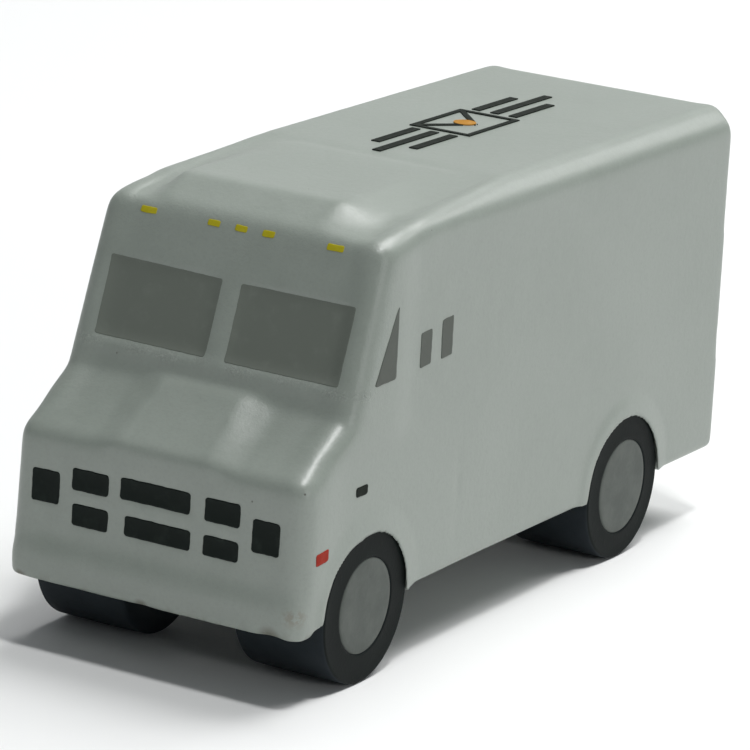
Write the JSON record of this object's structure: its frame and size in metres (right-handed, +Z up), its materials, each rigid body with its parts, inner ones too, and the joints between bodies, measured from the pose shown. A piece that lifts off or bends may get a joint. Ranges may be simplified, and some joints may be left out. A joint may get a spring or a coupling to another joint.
{
  "type": "mail delivery truck",
  "caption": "Soft foam toy of a step-van mail delivery truck, with a raised roof fairing, printed windows and grille, and free-rolling wheels.",
  "frame": {"origin": "on the ground, under the middle of the truck's length and width", "axes": "+Z up, -Y towards the nose, +Y towards the tail, +X towards the truck's left side"},
  "size_m": [0.0432, 0.1129, 0.0586],
  "materials": {
    "foam": "satin skin of self-skinning polyurethane foam",
    "tyre": "matte soft vinyl",
    "hub_plastic": "satin grey plastic",
    "running_plastic": "black moulded plastic",
    "chassis_plastic": "black moulded plastic",
    "anchor_plastic": "natural nylon",
    "steel": "zinc plated",
    "ink_screen": "dark grey pad-printed ink",
    "ink_front": "black pad-printed ink",
    "ink_black": "black pad-printed ink",
    "ink_yellow": "yellow pad-printed ink",
    "ink_red": "red pad-printed ink",
    "ink_orange": "orange pad-printed ink"
  },
  "bodies": {
    "truck": {"body_screws": "steel", "chassis_plate": "chassis_plastic", "door_handle_left": "ink_black", "door_handle_right": "ink_black", "door_windows_left": "ink_black", "door_windows_right": "ink_black", "foam_body": "foam", "front_axle": "steel", "front_axle_keeper": "chassis_plastic", "front_axle_spacers": "running_plastic", "front_keeper_screws": "steel", "front_push_nuts": "steel", "grille_slats": "ink_front", "headlamp_left": "ink_front", "headlamp_right": "ink_front", "quarter_window_left": "ink_black", "quarter_window_right": "ink_black", "rear_axle": "steel", "rear_axle_keeper": "chassis_plastic", "rear_axle_spacers": "running_plastic", "rear_keeper_screws": "steel", "rear_push_nuts": "steel", "roof_badge": "ink_black", "roof_badge_seal": "ink_orange", "roof_marker_lamps": "ink_yellow", "screw_anchors": "anchor_plastic", "side_marker_left": "ink_red", "side_marker_right": "ink_red", "windscreen_left": "ink_screen", "windscreen_right": "ink_screen"},
    "front_left_wheel": {"front_left_tyre": "tyre", "front_left_wheel_core": "running_plastic", "front_left_hub_cap": "hub_plastic"},
    "front_right_wheel": {"front_right_tyre": "tyre", "front_right_wheel_core": "running_plastic", "front_right_hub_cap": "hub_plastic"},
    "rear_left_wheel": {"rear_left_tyre": "tyre", "rear_left_wheel_core": "running_plastic", "rear_left_hub_cap": "hub_plastic"},
    "rear_right_wheel": {"rear_right_tyre": "tyre", "rear_right_wheel_core": "running_plastic", "rear_right_hub_cap": "hub_plastic"}
  },
  "joints": [
    {"name": "front_left_wheel_spin", "type": "hinge", "parent": "truck", "child": "front_left_wheel", "pos_m": [0.0148, -0.03975, 0.0101], "axis": [1, 0, 0], "continuous": true},
    {"name": "front_right_wheel_spin", "type": "hinge", "parent": "truck", "child": "front_right_wheel", "pos_m": [-0.0148, -0.03975, 0.0101], "axis": [1, 0, 0], "continuous": true},
    {"name": "rear_left_wheel_spin", "type": "hinge", "parent": "truck", "child": "rear_left_wheel", "pos_m": [0.0148, 0.02925, 0.0101], "axis": [1, 0, 0], "continuous": true},
    {"name": "rear_right_wheel_spin", "type": "hinge", "parent": "truck", "child": "rear_right_wheel", "pos_m": [-0.0148, 0.02925, 0.0101], "axis": [1, 0, 0], "continuous": true}
  ]
}
